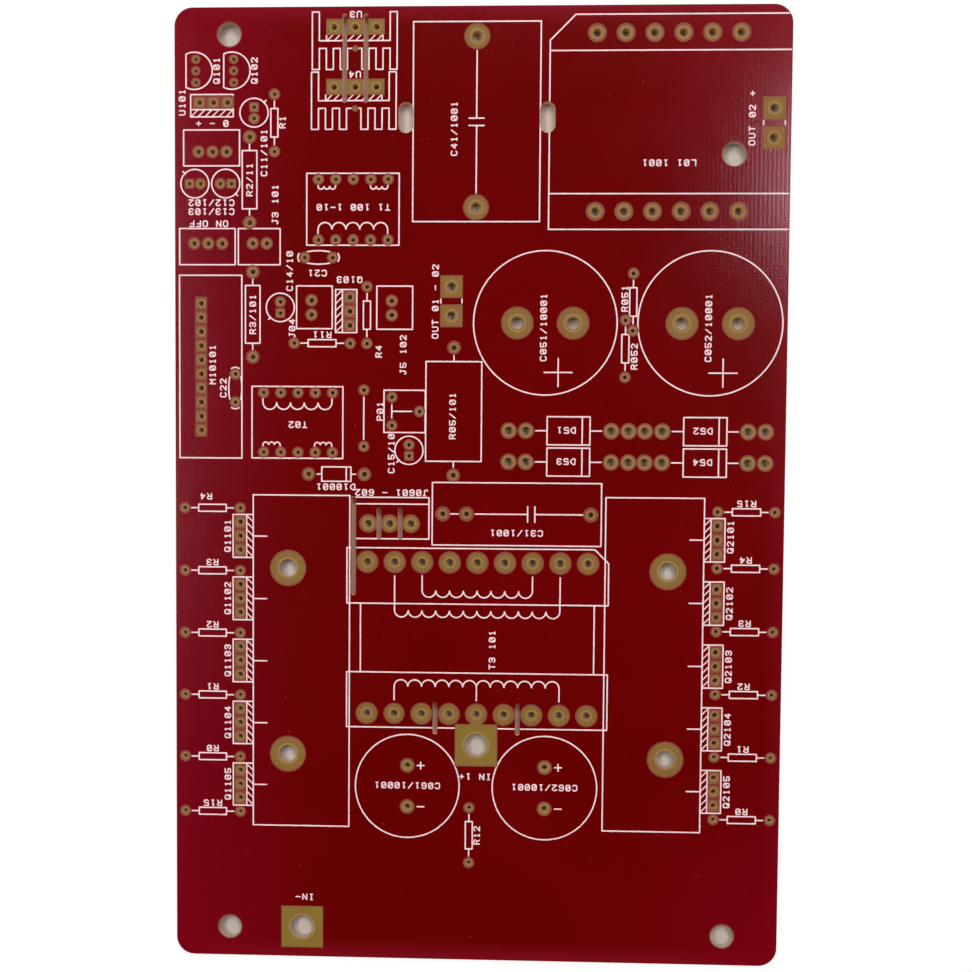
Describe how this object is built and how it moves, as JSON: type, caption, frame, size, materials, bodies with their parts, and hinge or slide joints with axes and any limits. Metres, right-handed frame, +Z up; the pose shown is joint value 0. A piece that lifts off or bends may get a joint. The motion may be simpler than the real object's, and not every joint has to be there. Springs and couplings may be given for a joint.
{
  "type": "bare inverter circuit board",
  "caption": "Unpopulated power-inverter circuit board: red solder mask, white part outlines, bare lead windows, drilled lead and screw holes, routed isolation slots.",
  "frame": {"origin": "centre of the underside of the board", "axes": "+Z up out of the component side, +Y along the board towards the output end, +X across it to the right as printed"},
  "size_m": [0.11, 0.172, 0.0017],
  "materials": {
    "laminate": "satin",
    "solder_mask": "gloss",
    "legend": "matte"
  },
  "bodies": {
    "root": {"laminate": "laminate", "solder_mask": "solder_mask", "legend": "legend"}
  },
  "joints": []
}
